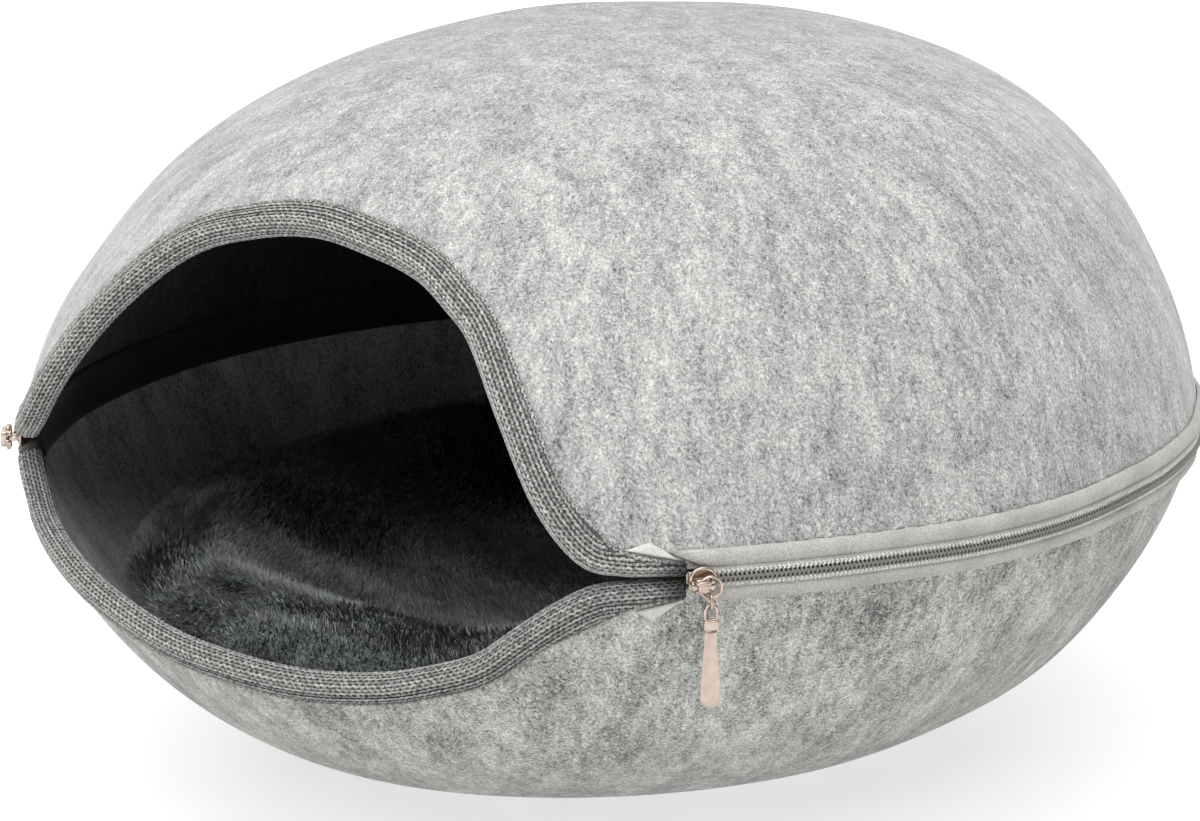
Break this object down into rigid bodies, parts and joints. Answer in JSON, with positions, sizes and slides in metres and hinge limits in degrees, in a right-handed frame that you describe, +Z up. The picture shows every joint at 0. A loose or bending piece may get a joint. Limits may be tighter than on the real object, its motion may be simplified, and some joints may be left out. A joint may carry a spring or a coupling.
{
  "type": "igloo cat bed",
  "caption": "Egg-shaped felt cat cave: a dome zipped to a bowl round the equator, an eye-shaped mouth bound with folded webbing, and a dished plush pad inside.",
  "frame": {"origin": "middle of the flat base, on the floor", "axes": "+Z up, -Y out of the mouth, +X towards the slider's corner"},
  "size_m": [0.4034, 0.428, 0.25],
  "materials": {
    "felt": "needle-punched melange felt, light grey with darker fibres",
    "webbing": "coarse woven webbing, mid grey",
    "zip_tape": "fine twill tape, grey",
    "zip_coil": "nylon coil, grey",
    "seam_tape": "woven tape, near black",
    "rose_metal": "plated zinc, pale rose, polished",
    "plush": "short-pile plush, dark slate grey"
  },
  "bodies": {
    "root": {"upper_shell": "felt", "lower_shell": "felt", "upper_binding": "webbing", "lower_binding": "webbing", "upper_zip_tape": "zip_tape", "lower_zip_tape": "zip_tape", "zip_coil": "zip_coil", "seam_tape": "seam_tape", "upper_tape_end": "zip_tape", "lower_tape_end": "zip_tape", "zip_slider": "rose_metal", "slider_ring": "rose_metal", "pull_link": "rose_metal", "zip_pull": "rose_metal", "zip_box": "rose_metal", "cushion": "plush"}
  },
  "joints": []
}
